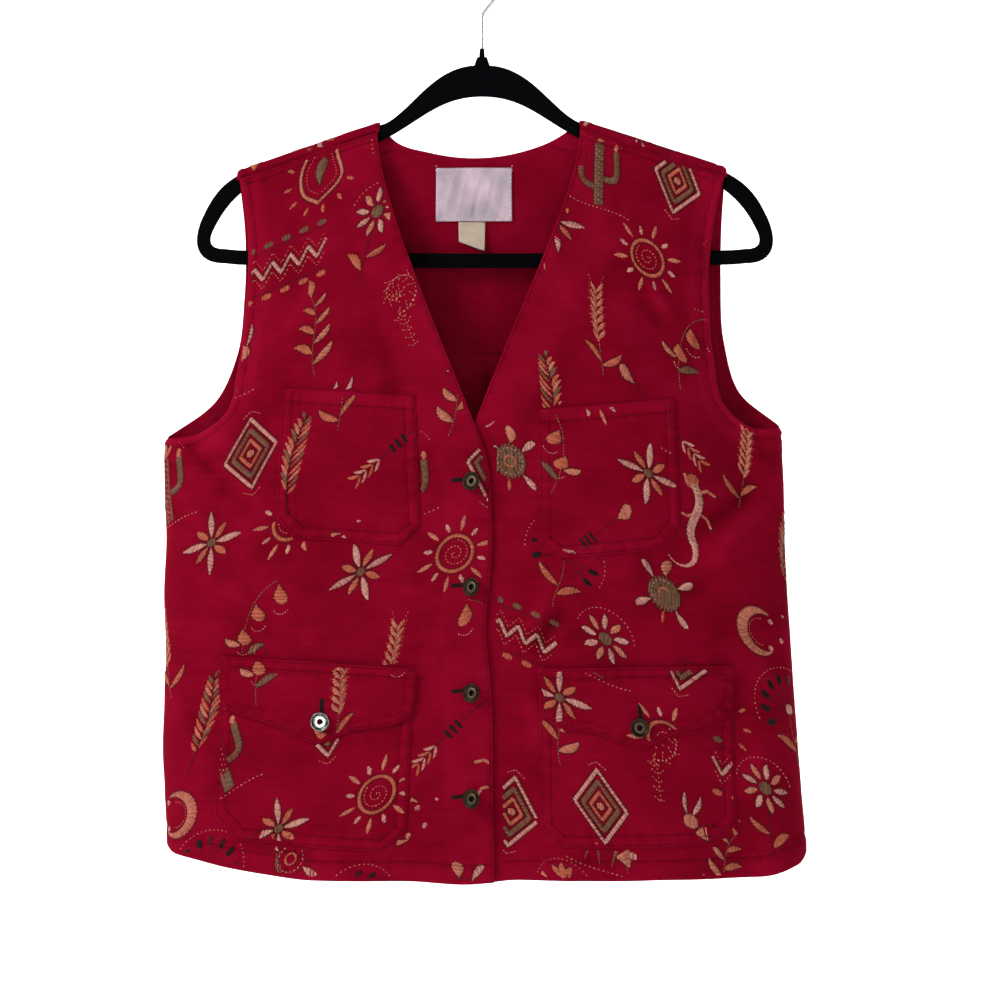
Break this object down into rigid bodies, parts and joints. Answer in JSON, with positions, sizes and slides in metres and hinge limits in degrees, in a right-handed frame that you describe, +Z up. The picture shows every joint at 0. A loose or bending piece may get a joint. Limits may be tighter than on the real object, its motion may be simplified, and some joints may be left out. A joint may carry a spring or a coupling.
{
  "type": "western vest on a hanger",
  "caption": "Button-front V-neck vest with patch chest pockets, flapped lower pockets and a forward shoulder seam, hanging on a flocked hanger with a wire hook.",
  "frame": {"origin": "the bearing point at the top of the inside of the hanger's hook", "axes": "+Z up, -Y towards the front of the vest, +X towards the wearer's left"},
  "size_m": [0.4972, 0.088, 0.7105],
  "materials": {
    "twill": "brushed cotton twill, matte, crimson",
    "label_satin": "blank satin label",
    "care_tape": "blank cream tape",
    "button_metal": "dark antiqued metal with rubbed rims",
    "flock": "black velvet flocking",
    "hook_wire": "polished wire"
  },
  "bodies": {
    "root": {"front_right": "twill", "front_left": "twill", "back": "twill", "back_facing": "twill", "chest_pocket_right": "twill", "chest_pocket_left": "twill", "lower_pocket_right": "twill", "lower_pocket_left": "twill", "flap_right": "twill", "flap_left": "twill", "neck_label": "label_satin", "care_label": "care_tape", "button_front_1": "button_metal", "button_front_2": "button_metal", "button_front_3": "button_metal", "button_front_4": "button_metal", "button_flap_right": "button_metal", "button_flap_left": "button_metal", "hanger_body": "flock", "hanger_collar": "flock", "hanger_hook": "hook_wire"}
  },
  "joints": []
}
